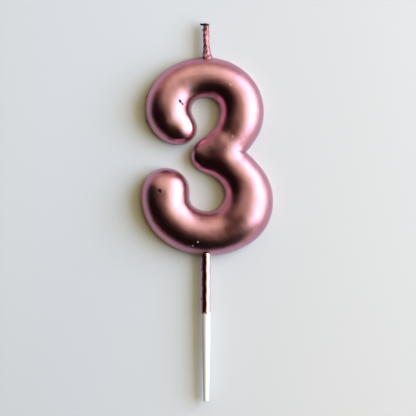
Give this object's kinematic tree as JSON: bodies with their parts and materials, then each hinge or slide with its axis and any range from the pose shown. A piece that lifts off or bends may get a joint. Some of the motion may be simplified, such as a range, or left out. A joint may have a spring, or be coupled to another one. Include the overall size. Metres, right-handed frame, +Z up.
{
  "type": "number birthday candle",
  "caption": "Cake candle in the shape of the numeral 3: rounded wax stroke under a rose metallic coat, twisted wick on top, white plastic pick below.",
  "frame": {"origin": "on the pick's axis, where the pick leaves the bottom of the numeral", "axes": "+Z up along the pick and wick, +X to the right of the numeral as it is read, and the numeral's rounded front faces -Y with its flat back facing +Y"},
  "size_m": [0.0467, 0.0089, 0.1334],
  "materials": {
    "wax": "unpolished cast wax",
    "lacquer": "rose metallic lacquer, satin to glossy",
    "cotton": "twisted cotton yarn",
    "pick_plastic": "moulded white plastic"
  },
  "bodies": {
    "root": {"wax_numeral": "wax", "numeral_lacquer": "lacquer", "wick_yarn_1": "cotton", "wick_yarn_2": "cotton", "wick_yarn_3": "cotton", "wick_priming_wax": "wax", "wick_lacquer": "lacquer", "pick": "pick_plastic", "pick_lacquer": "lacquer"}
  },
  "joints": []
}
